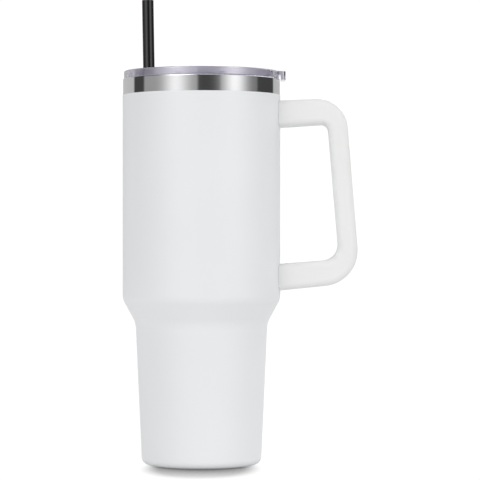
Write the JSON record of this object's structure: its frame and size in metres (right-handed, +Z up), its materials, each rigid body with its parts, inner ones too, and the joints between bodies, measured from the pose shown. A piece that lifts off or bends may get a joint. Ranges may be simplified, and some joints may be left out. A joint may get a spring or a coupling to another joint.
{
  "type": "insulated tumbler",
  "caption": "Wide straight-sided vacuum tumbler with a narrow tapered base, white D-shaped side handle, clear press-in lid with sliding mouthpiece cover, and a black straw.",
  "frame": {"origin": "centre of the flat underside of the rubber pad that the tumbler stands on, on the vessel's axis", "axes": "+Z up along the vessel's axis, +X from the axis towards the handle, -Y towards the person who drinks from the sip opening"},
  "size_m": [0.1488, 0.1, 0.2946],
  "materials": {
    "white_coat": "white powder coat with a fine texture",
    "polished_steel": "polished stainless steel",
    "brushed_steel": "electropolished stainless steel, satin",
    "screw_steel": "zinc-bright steel",
    "copper": "bright copper foil",
    "seal_glass": "fused sealing glass",
    "pad_rubber": "matt silicone rubber",
    "handle_white": "white moulded plastic, satin",
    "plug_white": "white silicone plug",
    "clear_lid": "clear moulded plastic with a faint violet cast",
    "clear_slider": "clear moulded plastic with a faint violet cast",
    "gasket_silicone": "translucent silicone rubber",
    "grommet_silicone": "translucent silicone rubber",
    "black_straw": "gloss black plastic"
  },
  "bodies": {
    "cup": {"outer_shell": "polished_steel", "powder_coat": "white_coat", "inner_liner": "brushed_steel", "copper_foil": "copper", "outer_base": "brushed_steel", "vacuum_seal_bead": "seal_glass", "getter_capsule": "screw_steel", "base_pad": "pad_rubber", "handle_moulding": "handle_white", "handle_bracket_upper": "brushed_steel", "handle_bracket_lower": "brushed_steel", "handle_screw_upper": "screw_steel", "handle_screw_lower": "screw_steel", "screw_plug_upper": "plug_white", "screw_plug_lower": "plug_white"},
    "lid_ring": {"lid_gasket": "gasket_silicone"},
    "lid": {"lid_body": "clear_lid", "straw_grommet": "grommet_silicone"},
    "slider": {"lid_slider": "clear_slider", "slider_clip": "clear_slider"},
    "straw": {"straw": "black_straw"}
  },
  "joints": [
    {"name": "lid_lift", "type": "slide", "parent": "cup", "child": "lid_ring", "axis": [0, 0, 1], "range_m": [0, 0.25]},
    {"name": "lid_turn", "type": "hinge", "parent": "lid_ring", "child": "lid", "pos_m": [0, 0, 0.245], "axis": [0, 0, 1], "continuous": true},
    {"name": "slider_slide", "type": "slide", "parent": "lid", "child": "slider", "axis": [0, 1, 0], "range_m": [0, 0.014]},
    {"name": "straw_slide", "type": "slide", "parent": "lid", "child": "straw", "axis": [-0.0166, 0, 0.9999], "range_m": [0, 0.03]}
  ]
}
